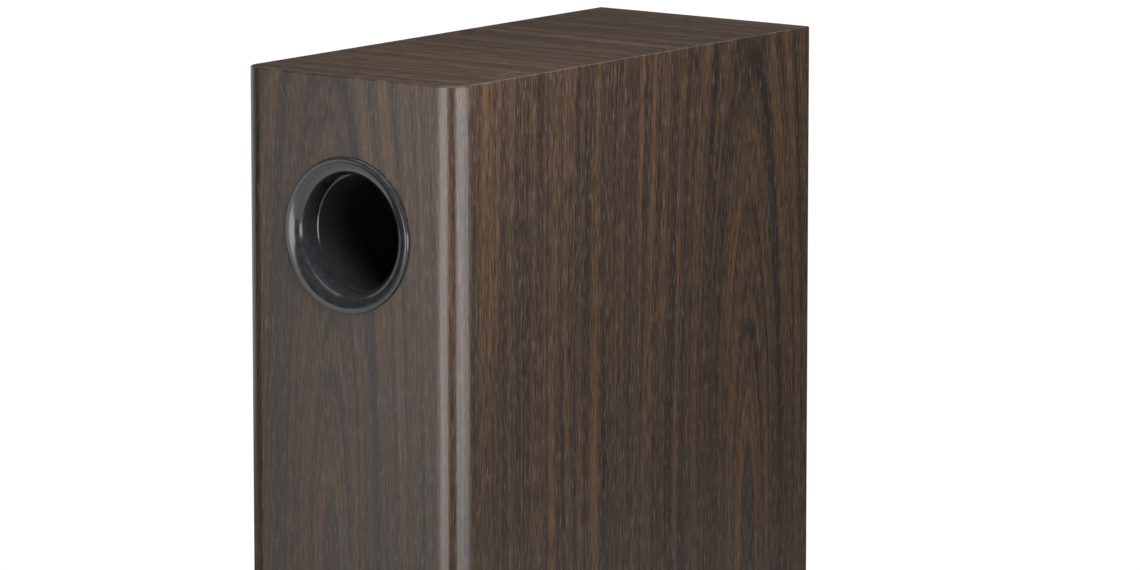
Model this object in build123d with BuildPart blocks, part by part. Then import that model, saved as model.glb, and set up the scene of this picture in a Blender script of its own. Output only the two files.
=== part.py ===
"""A floorstanding two-and-a-half-way reflex loudspeaker, in millimetres.

The frame has X across the cabinet, Y from the front baffle (-Y) to the rear (+Y) and Z up.
Its origin is on the floor, under the middle of the plinth.
"""

import os
from math import cos, radians, sin

from build123d import *

os.makedirs("parts", exist_ok=True)

# ---------------------------------------------------------------- driving dimensions
CABINET_W = 190.0
CABINET_D = 420.0
CABINET_H = 956.0
WALL = 19.0  # side and rear walls
PANEL = 18.0  # top, bottom and front boards
EDGE_R = 1.0  # broken edge of the wrapped boards
REAR_CORNER_R = 17.0  # the two upright rear corners

PLINTH_W = 246.0
PLINTH_D = 468.0
PLINTH_T = 25.0
PLINTH_STEP = 5.0  # raised field that makes a shadow gap under the cabinet
PLINTH_Z = 34.0  # height of the plinth's underside above the floor

TWEETER_DROP = 75.0  # centre heights below the top of the cabinet
UPPER_WOOFER_DROP = 217.0
LOWER_WOOFER_DROP = 389.0
PORT_DROP = 110.4
TERMINAL_RISE = 130.0  # centre height above the bottom of the cabinet

WOOFER_R = 82.5  # outer radius of the woofer's flange
WOOFER_REBATE = 5.0
TWEETER_R = 52.0
TWEETER_REBATE = 4.0

PORT_FLANGE_R = 55.0
PORT_LIP_R = 40.5
PORT_LIP_DEPTH = 18.3
PORT_TUBE_END = 68.0
PORT_TUBE_END_R = 37.5  # the tube narrows from the flare to its inner end

POST_PITCH = 19.05  # spacing of a double banana plug
BANANA_R = 2.05

FOOT_X = 103.0
FOOT_Y = 212.0

# ---------------------------------------------------------------- derived places
CABINET_Z = PLINTH_Z + PLINTH_T + PLINTH_STEP
TOP_Z = CABINET_Z + CABINET_H
FRONT_Y = -CABINET_D / 2
REAR_Y = CABINET_D / 2
INNER_X = CABINET_W / 2 - WALL
INNER_FRONT_Y = FRONT_Y + PANEL
INNER_REAR_Y = REAR_Y - WALL
INNER_FLOOR_Z = CABINET_Z + PANEL
TWEETER_Z = TOP_Z - TWEETER_DROP
WOOFER_Z = {"upper": TOP_Z - UPPER_WOOFER_DROP, "lower": TOP_Z - LOWER_WOOFER_DROP}
PORT_Z = TOP_Z - PORT_DROP
TERMINAL_Z = CABINET_Z + TERMINAL_RISE


def save(part, label):
    """Labels a finished piece and writes it as one STEP file."""
    part.label = label
    export_step(part, f"parts/{label}.step")


def front_plane(height):
    """A plane on the front face of the baffle: its Z points out of the cabinet."""
    return Plane(origin=(0, FRONT_Y, height), x_dir=(1, 0, 0), z_dir=(0, -1, 0))


def rear_plane(height, depth=0.0):
    """A plane on the rear face of the cabinet, or depth inside it: its Z points backwards."""
    return Plane(origin=(0, REAR_Y - depth, height), x_dir=(-1, 0, 0), z_dir=(0, 1, 0))


def front_section(height, turn=0.0):
    """A half-section plane of a driver: local x is the radius and local y points forwards."""
    out = Vector(0, -1, 0)
    radial = Vector(cos(radians(turn)), 0, sin(radians(turn)))
    return Plane(origin=(0, FRONT_Y, height), x_dir=radial, z_dir=radial.cross(out))


def front_axis(height):
    """The axis of a driver, pointing out of the front baffle."""
    return Axis((0, FRONT_Y, height), (0, -1, 0))


def rear_section(x, height, face_y=REAR_Y):
    """A half-section plane of a turned piece on the rear: local y points backwards."""
    return Plane(origin=(x, face_y, height), x_dir=(1, 0, 0), z_dir=(0, 0, 1))


def turned(section, axis, points):
    """A turned piece from a closed outline of straight runs."""
    with BuildPart() as piece:
        with BuildSketch(section):
            with BuildLine():
                Polyline(*points, close=True)
            make_face()
        revolve(axis=axis)
    return piece.part


def ring(section, axis, inner, outer, low, high):
    """A plain ring, or a disc if inner is 0, between two heights on its axis."""
    return turned(section, axis, [(inner, low), (outer, low), (outer, high), (inner, high)])


# ================================================================ cabinet boards
BAFFLE_HOLE_R = 71.5
TWEETER_HOLE_R = 38.0
WOOFER_SCREW_CIRCLE = 76.5
WOOFER_SCREW_COUNT = 6
WOOFER_SCREW_R = 2.0
WOOFER_SCREW_LENGTH = 16.0
TWEETER_SCREW_CIRCLE = 47.0
TWEETER_SCREW_COUNT = 4
TWEETER_SCREW_R = 1.75
TWEETER_SCREW_LENGTH = 14.0
PORT_SEAT_R = 48.3
PORT_SEAT_DEPTH = 12.0
PORT_TUBE_R = 44.2
CUP_W = 90.0
CUP_H = 62.0
CUP_FLANGE_W = 114.0
CUP_FLANGE_H = 86.0
CUP_FLANGE_T = 2.5
CUP_FLOOR_DEPTH = 24.0  # of the floor's outer face, below the rear of the cabinet
CUP_SKIN = 3.0
CUP_SCREW_X = 50.5
CUP_SCREW_Z = 36.5
CUP_SCREW_R = 1.75
CUP_SCREW_LENGTH = 14.0
BOLT_X = 58.0
BOLT_Y = 150.0
BOLT_R = 3.0
BOLT_GRIP = 12.0  # length of each plinth bolt inside the bottom board
RUNNING_GAP = 0.1
BEYOND = 60.0  # how far a cutting tool runs past the cabinet


def mitre_tool(start, end, face_inset, round_rear):
    """A board's wedge: its outline shrinks evenly from the outer face to the inner one."""
    with BuildPart() as tool:
        for plane, inset, radius in (
            (start, face_inset, REAR_CORNER_R - face_inset),
            (end, face_inset + PANEL, 0.5),
        ):
            half = CABINET_W / 2 - inset
            far = (REAR_Y if round_rear else TOP_Z) - inset
            near = (FRONT_Y if round_rear else CABINET_Z) - BEYOND
            with BuildSketch(plane) as outline:
                with Locations((0, (far + near) / 2)):
                    Rectangle(2 * half, far - near)
                if round_rear:
                    fillet(outline.vertices().group_by(Axis.Y)[-1], radius)
        loft(ruled=True)
    return tool.part


top_tool = mitre_tool(Plane.XY.offset(TOP_Z), Plane.XY.offset(TOP_Z - PANEL), EDGE_R, True)
baffle_tool = mitre_tool(
    Plane(origin=(0, FRONT_Y, 0), x_dir=(1, 0, 0), z_dir=(0, -1, 0)),
    Plane(origin=(0, FRONT_Y + PANEL, 0), x_dir=(1, 0, 0), z_dir=(0, -1, 0)),
    EDGE_R,
    False,
)

with BuildPart() as cabinet_shell:
    with BuildSketch(Plane.XY.offset(CABINET_Z)):
        Rectangle(CABINET_W, CABINET_D)
    extrude(amount=CABINET_H)
    upright = cabinet_shell.edges().filter_by(Axis.Z)
    fillet(upright.group_by(Axis.Y)[-1], REAR_CORNER_R)
    front_edges = cabinet_shell.edges().filter_by(Axis.Z).group_by(Axis.Y)[0]
    fillet(front_edges, EDGE_R)
    fillet(cabinet_shell.faces().sort_by(Axis.Z)[-1].edges(), EDGE_R)
    with BuildSketch(Plane.XY.offset(CABINET_Z)):
        with Locations((0, (INNER_FRONT_Y + INNER_REAR_Y) / 2)):
            Rectangle(2 * INNER_X, INNER_REAR_Y - INNER_FRONT_Y)
    extrude(amount=CABINET_H - PANEL, mode=Mode.SUBTRACT)

with BuildPart() as cabinet_carcass:
    add(cabinet_shell.part)
    add(top_tool, mode=Mode.SUBTRACT)
    add(baffle_tool, mode=Mode.SUBTRACT)
    with BuildSketch(rear_plane(PORT_Z)):
        Circle(PORT_TUBE_R)
    extrude(amount=-WALL, mode=Mode.SUBTRACT)
    with BuildSketch(rear_plane(PORT_Z)):
        Circle(PORT_SEAT_R)
    extrude(amount=-PORT_SEAT_DEPTH, mode=Mode.SUBTRACT)
    with BuildSketch(rear_plane(TERMINAL_Z)):
        Rectangle(CUP_W + 1, CUP_H + 1)
    extrude(amount=-WALL, mode=Mode.SUBTRACT)
    with BuildSketch(rear_plane(TERMINAL_Z)):
        with GridLocations(2 * CUP_SCREW_X, 2 * CUP_SCREW_Z, 2, 2):
            Circle(CUP_SCREW_R)
    extrude(amount=-CUP_SCREW_LENGTH, mode=Mode.SUBTRACT)
save(cabinet_carcass.part, "cabinet_carcass")

with BuildPart() as top_panel:
    add(cabinet_shell.part)
    add(top_tool, mode=Mode.INTERSECT)
    add(baffle_tool, mode=Mode.SUBTRACT)
save(top_panel.part, "top_panel")

with BuildPart() as front_baffle:
    add(cabinet_shell.part)
    add(baffle_tool, mode=Mode.INTERSECT)
    for height in WOOFER_Z.values():
        with BuildSketch(front_plane(height)):
            Circle(WOOFER_R + 0.2)
        extrude(amount=-WOOFER_REBATE, mode=Mode.SUBTRACT)
        with BuildSketch(front_plane(height)):
            Circle(BAFFLE_HOLE_R)
        extrude(amount=-PANEL, mode=Mode.SUBTRACT)
        with BuildSketch(front_plane(height)):
            with PolarLocations(WOOFER_SCREW_CIRCLE, WOOFER_SCREW_COUNT, start_angle=30):
                Circle(WOOFER_SCREW_R)
        extrude(amount=-WOOFER_SCREW_LENGTH, mode=Mode.SUBTRACT)
    with BuildSketch(front_plane(TWEETER_Z)):
        Circle(TWEETER_R + 0.2)
    extrude(amount=-TWEETER_REBATE, mode=Mode.SUBTRACT)
    with BuildSketch(front_plane(TWEETER_Z)):
        Circle(TWEETER_HOLE_R)
    extrude(amount=-PANEL, mode=Mode.SUBTRACT)
    with BuildSketch(front_plane(TWEETER_Z)):
        with PolarLocations(TWEETER_SCREW_CIRCLE, TWEETER_SCREW_COUNT, start_angle=45):
            Circle(TWEETER_SCREW_R)
    extrude(amount=-TWEETER_SCREW_LENGTH, mode=Mode.SUBTRACT)
save(front_baffle.part, "front_baffle")

INNER_MID_Y = (INNER_FRONT_Y + INNER_REAR_Y) / 2
INNER_LENGTH = INNER_REAR_Y - INNER_FRONT_Y

with BuildPart() as bottom_panel:
    with BuildSketch(Plane.XY.offset(CABINET_Z)):
        with Locations((0, INNER_MID_Y)):
            Rectangle(2 * INNER_X, INNER_LENGTH)
    extrude(amount=PANEL)
    with BuildSketch(Plane.XY.offset(CABINET_Z)):
        with GridLocations(2 * BOLT_X, 2 * BOLT_Y, 2, 2):
            Circle(BOLT_R + RUNNING_GAP)
    extrude(amount=BOLT_GRIP, mode=Mode.SUBTRACT)
save(bottom_panel.part, "bottom_panel")

BRACE_T = 12.0
BRACE_RIM = 22.0
BRACE_Z = {
    "upper": (WOOFER_Z["upper"] + WOOFER_Z["lower"]) / 2 - BRACE_T / 2,
    "lower": CABINET_Z + 270.0,
}
with BuildPart() as window_braces:
    for height in BRACE_Z.values():
        with BuildSketch(Plane.XY.offset(height)):
            with Locations((0, INNER_MID_Y)):
                Rectangle(2 * INNER_X, INNER_LENGTH)
                RectangleRounded(
                    2 * (INNER_X - BRACE_RIM),
                    INNER_LENGTH - 2 * BRACE_RIM,
                    20,
                    mode=Mode.SUBTRACT,
                )
        extrude(amount=BRACE_T)
save(window_braces.part, "window_braces")

# ================================================================ damping wadding
WADDING_T = 22.0
WADDING_FRONT_Y = -110.0
WADDING_REAR_Y = 186.0
WADDING_GAP = 6.0
WADDING_SPANS = [
    (BRACE_Z["lower"] + BRACE_T + WADDING_GAP, BRACE_Z["upper"] - WADDING_GAP),
    (BRACE_Z["upper"] + BRACE_T + WADDING_GAP, TOP_Z - PANEL - WADDING_GAP),
]

with BuildPart() as damping_wadding:
    for low, high in WADDING_SPANS:
        with BuildSketch(Plane.XY.offset(low)):
            for side in (-1, 1):
                with Locations(
                    (side * (INNER_X - WADDING_T / 2), (WADDING_FRONT_Y + WADDING_REAR_Y) / 2)
                ):
                    Rectangle(WADDING_T, WADDING_REAR_Y - WADDING_FRONT_Y)
        extrude(amount=high - low)
    fillet(damping_wadding.edges().filter_by(Axis.Z), 8)
save(damping_wadding.part, "damping_wadding")

# ================================================================ reflex port
port_section = rear_section(0, PORT_Z)
port_axis = Axis((0, REAR_Y, PORT_Z), (0, 1, 0))
BEAD_HEIGHT = 3.0
BEAD_CREST_R = 53.0
THROAT_MID_R = 44.2
THROAT_MID_H = -0.4
LIP_STEP = 0.8  # the throat ends in a small sloped ledge
NECK_R = 42.1
TUBE_WALL = 2.0

with BuildPart() as port_flare:
    with BuildSketch(port_section):
        with BuildLine():
            bead = EllipticalCenterArc(
                (BEAD_CREST_R, 0),
                PORT_FLANGE_R - BEAD_CREST_R,
                BEAD_HEIGHT,
                start_angle=0,
                arc_size=90,
            )
            throat = Spline(
                bead @ 1,
                (THROAT_MID_R, THROAT_MID_H),
                (PORT_LIP_R + LIP_STEP, LIP_STEP - PORT_LIP_DEPTH),
                tangents=[(-1, 0), (0, -1)],
            )
            Polyline(
                throat @ 1,
                (PORT_LIP_R, LIP_STEP / 2 - PORT_LIP_DEPTH),
                (PORT_LIP_R, -PORT_LIP_DEPTH),
                (NECK_R, -PORT_LIP_DEPTH),
                (NECK_R, -PORT_SEAT_DEPTH),
                (PORT_TUBE_R - RUNNING_GAP, -PORT_SEAT_DEPTH),
                (PORT_SEAT_R - 0.2, -4),
                (PORT_SEAT_R - 0.2, 0),
                bead @ 0,
            )
        make_face()
    revolve(axis=port_axis)
save(port_flare.part, "port_flare")

tube_outline = [
    (NECK_R + RUNNING_GAP, -PORT_SEAT_DEPTH),
    (NECK_R + RUNNING_GAP, -PORT_LIP_DEPTH - RUNNING_GAP),
    (PORT_LIP_R, -PORT_LIP_DEPTH - RUNNING_GAP),
    (PORT_TUBE_END_R, -PORT_TUBE_END),
    (PORT_TUBE_END_R + TUBE_WALL, -PORT_TUBE_END),
    (PORT_TUBE_R - RUNNING_GAP, -WALL - 1),
    (PORT_TUBE_R - RUNNING_GAP, -PORT_SEAT_DEPTH),
]
save(turned(port_section, port_axis, tube_outline), "port_tube")

# ================================================================ terminal panel
CUP_DEPTH = CUP_FLOOR_DEPTH + CUP_SKIN
BOSS_R = 7.4
BOSS_H = 3.0
STEM_R = 3.0
STEM_HOLE_R = 3.1
STEM_OUT = 21.5  # reach of the stem beyond the cup's floor
STEM_IN = 18.0  # reach of the stem into the cabinet, from the cup's floor
BANANA_DEPTH = 16.0
WIRE_HOLE_R = 1.2
NUT_FLATS_R = 5.0
NUT_T = 5.0
CAP_R = 7.2
CAP_LENGTH = 18.7
CAP_END_T = 1.4
CAP_BORE_R = 3.06
CAP_FRONT_R = 2.6
CAP_FLUTES = 16
WASHER_R = 6.6
WASHER_T = 1.2
CLAMP_GAP = 0.3
POST_X = {"red": -POST_PITCH / 2, "black": POST_PITCH / 2}
CUP_FLOOR_Y = REAR_Y - CUP_FLOOR_DEPTH

with BuildPart() as terminal_cup:
    with BuildSketch(rear_plane(TERMINAL_Z)):
        RectangleRounded(CUP_FLANGE_W, CUP_FLANGE_H, 9)
    extrude(amount=CUP_FLANGE_T)
    fillet(terminal_cup.faces().sort_by(Axis.Y)[-1].edges(), 1.2)
    with BuildSketch(rear_plane(TERMINAL_Z)):
        RectangleRounded(CUP_W, CUP_H, 6)
    extrude(amount=-CUP_DEPTH)
    with BuildSketch(rear_plane(TERMINAL_Z, CUP_FLOOR_DEPTH)):
        RectangleRounded(CUP_W - 16, CUP_H - 16, 4)
    with BuildSketch(rear_plane(TERMINAL_Z, -CUP_FLANGE_T)):
        RectangleRounded(CUP_W - 5, CUP_H - 5, 6)
    loft(ruled=True, mode=Mode.SUBTRACT)
    with BuildSketch(rear_plane(TERMINAL_Z, CUP_FLOOR_DEPTH)):
        with GridLocations(POST_PITCH, 0, 2, 1):
            Circle(BOSS_R)
    extrude(amount=BOSS_H)
    with BuildSketch(rear_plane(TERMINAL_Z, CUP_DEPTH)):
        with GridLocations(POST_PITCH, 0, 2, 1):
            Circle(STEM_HOLE_R)
    extrude(amount=CUP_SKIN + BOSS_H, mode=Mode.SUBTRACT)
    with BuildSketch(rear_plane(TERMINAL_Z)):
        with GridLocations(2 * CUP_SCREW_X, 2 * CUP_SCREW_Z, 2, 2):
            Circle(CUP_SCREW_R + 0.2)
    extrude(amount=CUP_FLANGE_T, mode=Mode.SUBTRACT)
save(terminal_cup.part, "terminal_cup")

with BuildPart() as terminal_screws:
    with BuildSketch(rear_plane(TERMINAL_Z)):
        with GridLocations(2 * CUP_SCREW_X, 2 * CUP_SCREW_Z, 2, 2):
            Circle(CUP_SCREW_R)
    extrude(amount=-CUP_SCREW_LENGTH)
    extrude(terminal_screws.faces().group_by(Axis.Y)[-1], amount=CUP_FLANGE_T)
    with BuildSketch(rear_plane(TERMINAL_Z, -CUP_FLANGE_T)):
        with GridLocations(2 * CUP_SCREW_X, 2 * CUP_SCREW_Z, 2, 2):
            Circle(3.2)
    extrude(amount=1.8)
    fillet(terminal_screws.faces().group_by(Axis.Y)[-1].edges(), 0.8)
    with BuildSketch(rear_plane(TERMINAL_Z, -CUP_FLANGE_T - 1.8)):
        with GridLocations(2 * CUP_SCREW_X, 2 * CUP_SCREW_Z, 2, 2):
            Rectangle(2.8, 0.7)
            Rectangle(0.7, 2.8)
    extrude(amount=-1.1, mode=Mode.SUBTRACT)
save(terminal_screws.part, "terminal_screws")

with BuildPart() as post_stems:
    with BuildSketch(rear_plane(TERMINAL_Z, CUP_FLOOR_DEPTH + STEM_IN)):
        with GridLocations(POST_PITCH, 0, 2, 1):
            Circle(STEM_R)
    extrude(amount=STEM_IN + STEM_OUT)
    with BuildSketch(rear_plane(TERMINAL_Z, CUP_FLOOR_DEPTH - STEM_OUT)):
        with GridLocations(POST_PITCH, 0, 2, 1):
            Circle(BANANA_R)
    extrude(amount=-BANANA_DEPTH, mode=Mode.SUBTRACT)
    with BuildSketch(Plane(origin=(0, CUP_FLOOR_Y + 4.3, TERMINAL_Z + STEM_R + 1))):
        with GridLocations(POST_PITCH, 0, 2, 1):
            Circle(WIRE_HOLE_R)
    extrude(amount=-2 * STEM_R - 2, mode=Mode.SUBTRACT)
save(post_stems.part, "post_stems")

with BuildPart() as post_nuts:
    with BuildSketch(rear_plane(TERMINAL_Z, CUP_DEPTH)):
        with GridLocations(POST_PITCH, 0, 2, 1):
            RegularPolygon(NUT_FLATS_R, 6, major_radius=False)
            Circle(STEM_HOLE_R, mode=Mode.SUBTRACT)
    extrude(amount=-NUT_T)
save(post_nuts.part, "post_nuts")

CAP_START_Y = CUP_FLOOR_Y + BOSS_H + CLAMP_GAP + WASHER_T + CLAMP_GAP
for name, x in POST_X.items():
    section = rear_section(x, TERMINAL_Z, CUP_FLOOR_Y + BOSS_H + CLAMP_GAP)
    axis = Axis((x, REAR_Y, TERMINAL_Z), (0, 1, 0))
    washer = ring(section, axis, CAP_BORE_R, WASHER_R, 0, WASHER_T)
    save(washer, f"{name}_clamp_washer")

    cap_plane = Plane(origin=(x, CAP_START_Y, TERMINAL_Z), x_dir=(-1, 0, 0), z_dir=(0, 1, 0))
    with BuildPart() as cap:
        with BuildSketch(cap_plane):
            Circle(CAP_R)
        extrude(amount=CAP_LENGTH)
        fillet(cap.faces().sort_by(Axis.Y)[-1].edges(), 1.4)
        with BuildSketch(cap_plane.offset(4)):
            with PolarLocations(CAP_R + 0.35, CAP_FLUTES):
                Circle(0.95)
        extrude(amount=CAP_LENGTH, mode=Mode.SUBTRACT)
        with BuildSketch(cap_plane):
            Circle(CAP_BORE_R)
        extrude(amount=CAP_LENGTH - CAP_END_T, mode=Mode.SUBTRACT)
        with BuildSketch(cap_plane):
            Circle(CAP_FRONT_R)
        extrude(amount=CAP_LENGTH, mode=Mode.SUBTRACT)
    save(cap.part, f"{name}_post_cap")

# ================================================================ crossover
BOARD_W = 110.0
BOARD_D = 250.0
BOARD_T = 1.6
STANDOFF_H = 10.0
STANDOFF_X = 50.0
STANDOFF_Y = 118.0
BOARD_Z = INNER_FLOOR_Z + STANDOFF_H
BOARD_TOP_Z = BOARD_Z + BOARD_T

with BuildPart() as crossover_board:
    with BuildSketch(Plane.XY.offset(BOARD_Z)):
        RectangleRounded(BOARD_W, BOARD_D, 3)
        with GridLocations(2 * STANDOFF_X, 2 * STANDOFF_Y, 2, 2):
            Circle(1.6, mode=Mode.SUBTRACT)
    extrude(amount=BOARD_T)
save(crossover_board.part, "crossover_board")

with BuildPart() as board_standoffs:
    with BuildSketch(Plane.XY.offset(INNER_FLOOR_Z)):
        with GridLocations(2 * STANDOFF_X, 2 * STANDOFF_Y, 2, 2):
            Circle(3.5)
    extrude(amount=STANDOFF_H)
    with BuildSketch(Plane.XY.offset(BOARD_Z)):
        with GridLocations(2 * STANDOFF_X, 2 * STANDOFF_Y, 2, 2):
            Circle(1.5)
    extrude(amount=BOARD_T)
    with BuildSketch(Plane.XY.offset(BOARD_TOP_Z)):
        with GridLocations(2 * STANDOFF_X, 2 * STANDOFF_Y, 2, 2):
            Circle(3)
    extrude(amount=2)
save(board_standoffs.part, "board_standoffs")

INDUCTORS = [(-24, -78, 23, 10, 20), (-26, -22, 20, 9, 18), (-26, 40, 20, 9, 18)]
with BuildPart() as crossover_inductors:
    for x, y, outer, inner, height in INDUCTORS:
        with BuildSketch(Plane.XY.offset(BOARD_TOP_Z)):
            with Locations((x, y)):
                Circle(outer)
                Circle(inner, mode=Mode.SUBTRACT)
        extrude(amount=height)
save(crossover_inductors.part, "crossover_inductors")

CAPACITORS = [(20, -10, 11, 42), (20, 38, 11, 42), (-28, 82, 9, 34), (24, 78, 8, 30)]
with BuildPart() as crossover_capacitors:
    for x, y, radius, length in CAPACITORS:
        with BuildSketch(Plane.XZ.offset(-y - length / 2)):
            with Locations((x, BOARD_TOP_Z + radius)):
                Circle(radius)
        extrude(amount=length)
    fillet(crossover_capacitors.edges().filter_by(GeomType.CIRCLE), 1)
save(crossover_capacitors.part, "crossover_capacitors")

with BuildPart() as crossover_resistors:
    for x, y in ((44, -30), (44, 30)):
        with BuildSketch(Plane.XY.offset(BOARD_TOP_Z)):
            with Locations((x, y)):
                Rectangle(10, 46)
        extrude(amount=9)
    fillet(crossover_resistors.edges().filter_by(Axis.Y), 1)
save(crossover_resistors.part, "crossover_resistors")

# ================================================================ woofers
SURROUND_OUTER_R = 69.8
ROLL_OUTER_R = 63.5
ROLL_X = 58.9  # radius at the middle of the roll
ROLL_R = 5.0  # radius of the roll itself
RUBBER_T = 1.0
LIP_W = 2.6
LIP_Y = -8.3
SEAT_DEPTH = 3.5
CONE_RIM_R = 53.0
CONE_RIM_DEPTH = 8.6
COIL_R = 13.05
COIL_T = 0.3
CONE_NECK_DEPTH = 33.0
CONE_T = 1.0
BASKET_WALL_R = 70.0
BASKET_FLOOR_R = 46.5
BASKET_FLOOR_DEPTH = 43.0
LANDING_DEPTH = 37.0
MOTOR_TOP = 46.0
TOP_PLATE_T = 5.0
MAGNET_T = 17.0
YOKE_T = 6.0
WINDOW_COUNT = 6
WINDOW_SWEEP = 42.0
TAG_X = 48.5
TAG_LENGTH = 10.0
SPIDER_WAVES = 5


def woofer_basket(height):
    """Cast frame: a flange, six arms, a ledge for the spider and a floor for the motor."""
    with BuildPart() as basket:
        with BuildSketch(front_section(height)):
            with BuildLine():
                Polyline(
                    (WOOFER_R, 0),
                    (WOOFER_R, -WOOFER_REBATE),
                    (BASKET_WALL_R, -WOOFER_REBATE),
                    (BASKET_FLOOR_R, -LANDING_DEPTH - 3),
                    (BASKET_FLOOR_R, -MOTOR_TOP),
                    (17, -MOTOR_TOP),
                    (17, -BASKET_FLOOR_DEPTH),
                    (43.5, -BASKET_FLOOR_DEPTH),
                    (43.5, -LANDING_DEPTH - 3),
                    (40, -LANDING_DEPTH - 3),
                    (40, -LANDING_DEPTH),
                    (45.2, -LANDING_DEPTH),
                    (ROLL_OUTER_R, -WOOFER_REBATE),
                    (ROLL_OUTER_R, -SEAT_DEPTH),
                    (SURROUND_OUTER_R + 0.2, -SEAT_DEPTH),
                    (SURROUND_OUTER_R + 0.2, 0),
                    close=True,
                )
            make_face()
        revolve(axis=front_axis(height))
        for k in range(WINDOW_COUNT):
            turn = k * 360 / WINDOW_COUNT + 30 - WINDOW_SWEEP / 2
            with BuildSketch(front_section(height, turn)):
                with Locations((62, -21.5)):
                    Rectangle(40, 25)
            revolve(axis=front_axis(height), revolution_arc=-WINDOW_SWEEP, mode=Mode.SUBTRACT)
        with BuildSketch(front_plane(height)):
            with PolarLocations(WOOFER_SCREW_CIRCLE, WOOFER_SCREW_COUNT, start_angle=30):
                Circle(WOOFER_SCREW_R + 0.2)
        extrude(amount=-WOOFER_REBATE, mode=Mode.SUBTRACT)
        with BuildSketch(front_plane(height).offset(-MOTOR_TOP)):
            with Locations((TAG_X, 0)):
                Rectangle(5, 8)
        extrude(amount=-TAG_LENGTH)
        with BuildSketch(front_plane(height).offset(-MOTOR_TOP)):
            with Locations((TAG_X - 3, 0)):
                Rectangle(8, 8)
        extrude(amount=3)
    return basket.part


def woofer_cone(height):
    """Thin curved cone from the coil former out to the surround."""
    with BuildPart() as cone:
        with BuildSketch(front_section(height)):
            with BuildLine():
                front = ThreePointArc(
                    (COIL_R + COIL_T + 0.05, -CONE_NECK_DEPTH),
                    (31, -18.5),
                    (CONE_RIM_R, -CONE_RIM_DEPTH),
                )
                back = ThreePointArc(
                    (CONE_RIM_R, -CONE_RIM_DEPTH - CONE_T),
                    (31.4, -18.5 - CONE_T),
                    (COIL_R + COIL_T + 0.05, -CONE_NECK_DEPTH - 1.3 * CONE_T),
                )
                Line(front @ 1, back @ 0)
                Line(back @ 1, front @ 0)
            make_face()
        revolve(axis=front_axis(height))
    return cone.part


def woofer_surround(height):
    """Half-roll of rubber: its outer lip lies on the basket and its inner lip on the cone."""
    top, outer, inner = -SEAT_DEPTH + RUBBER_T, ROLL_R + RUBBER_T / 2, ROLL_R - RUBBER_T / 2
    foot = ROLL_X - outer
    with BuildPart() as surround:
        with BuildSketch(front_section(height)):
            with BuildLine():
                ThreePointArc((ROLL_X + outer, top), (ROLL_X, top + outer), (foot, top))
                Polyline(
                    (foot, top),
                    (foot, LIP_Y + RUBBER_T),
                    (foot - LIP_W, LIP_Y + RUBBER_T),
                    (foot - LIP_W, LIP_Y),
                    (foot + RUBBER_T, LIP_Y),
                    (foot + RUBBER_T, top),
                )
                ThreePointArc((ROLL_X - inner, top), (ROLL_X, top + inner), (ROLL_X + inner, top))
                Polyline(
                    (ROLL_X + inner, top),
                    (ROLL_X + inner, -SEAT_DEPTH),
                    (SURROUND_OUTER_R, -SEAT_DEPTH),
                    (SURROUND_OUTER_R, top),
                    (ROLL_X + outer, top),
                )
            make_face()
        revolve(axis=front_axis(height))
    return surround.part


def woofer_spider(height):
    """Corrugated cloth disc that centres the coil."""
    inner, outer, swing, cloth = COIL_R + COIL_T + 0.05, 43.0, 0.9, 0.6
    crest = [
        (inner + (outer - inner - 3) * k / (2 * SPIDER_WAVES), -LANDING_DEPTH + cloth + swing * (k % 2))
        for k in range(2 * SPIDER_WAVES + 1)
    ]
    back = [(x, y - cloth) for x, y in reversed(crest)]
    ends = [(outer, -LANDING_DEPTH + cloth), (outer, -LANDING_DEPTH)]
    return turned(front_section(height), front_axis(height), crest + ends + back)


def dust_cap(height):
    """Shallow dome over the coil, glued to the cone."""
    with BuildPart() as cap:
        with BuildSketch(front_section(height)):
            with BuildLine():
                outer = TangentArc((0, -18.8), (22.5, -24.4), tangent=(1, 0))
                inner = TangentArc((0, -19.6), (21.8, -24.8), tangent=(1, 0))
                Line(outer @ 1, inner @ 1)
                Line(inner @ 0, outer @ 0)
            make_face()
        revolve(axis=front_axis(height))
    return cap.part


def socket_screws(heights, circle, count, start, radius, length, head_r, head_h):
    """Button-head screws on a circle about each height, each with a hexagon socket."""
    places = [
        (at.position.X, height + at.position.Y)
        for height in heights
        for at in PolarLocations(circle, count, start_angle=start)
    ]
    face = front_plane(0)
    with BuildPart() as screws:
        with BuildSketch(face):
            with Locations(*places):
                Circle(radius)
        extrude(amount=-length)
        with BuildSketch(face):
            with Locations(*places):
                Circle(head_r)
        extrude(amount=head_h)
        fillet(screws.faces().group_by(Axis.Y)[0].edges(), 0.45 * head_h)
        with BuildSketch(face.offset(head_h)):
            with Locations(*places):
                RegularPolygon(0.38 * head_r, 6, major_radius=False)
        extrude(amount=-0.6 * head_h, mode=Mode.SUBTRACT)
    return screws.part


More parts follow.
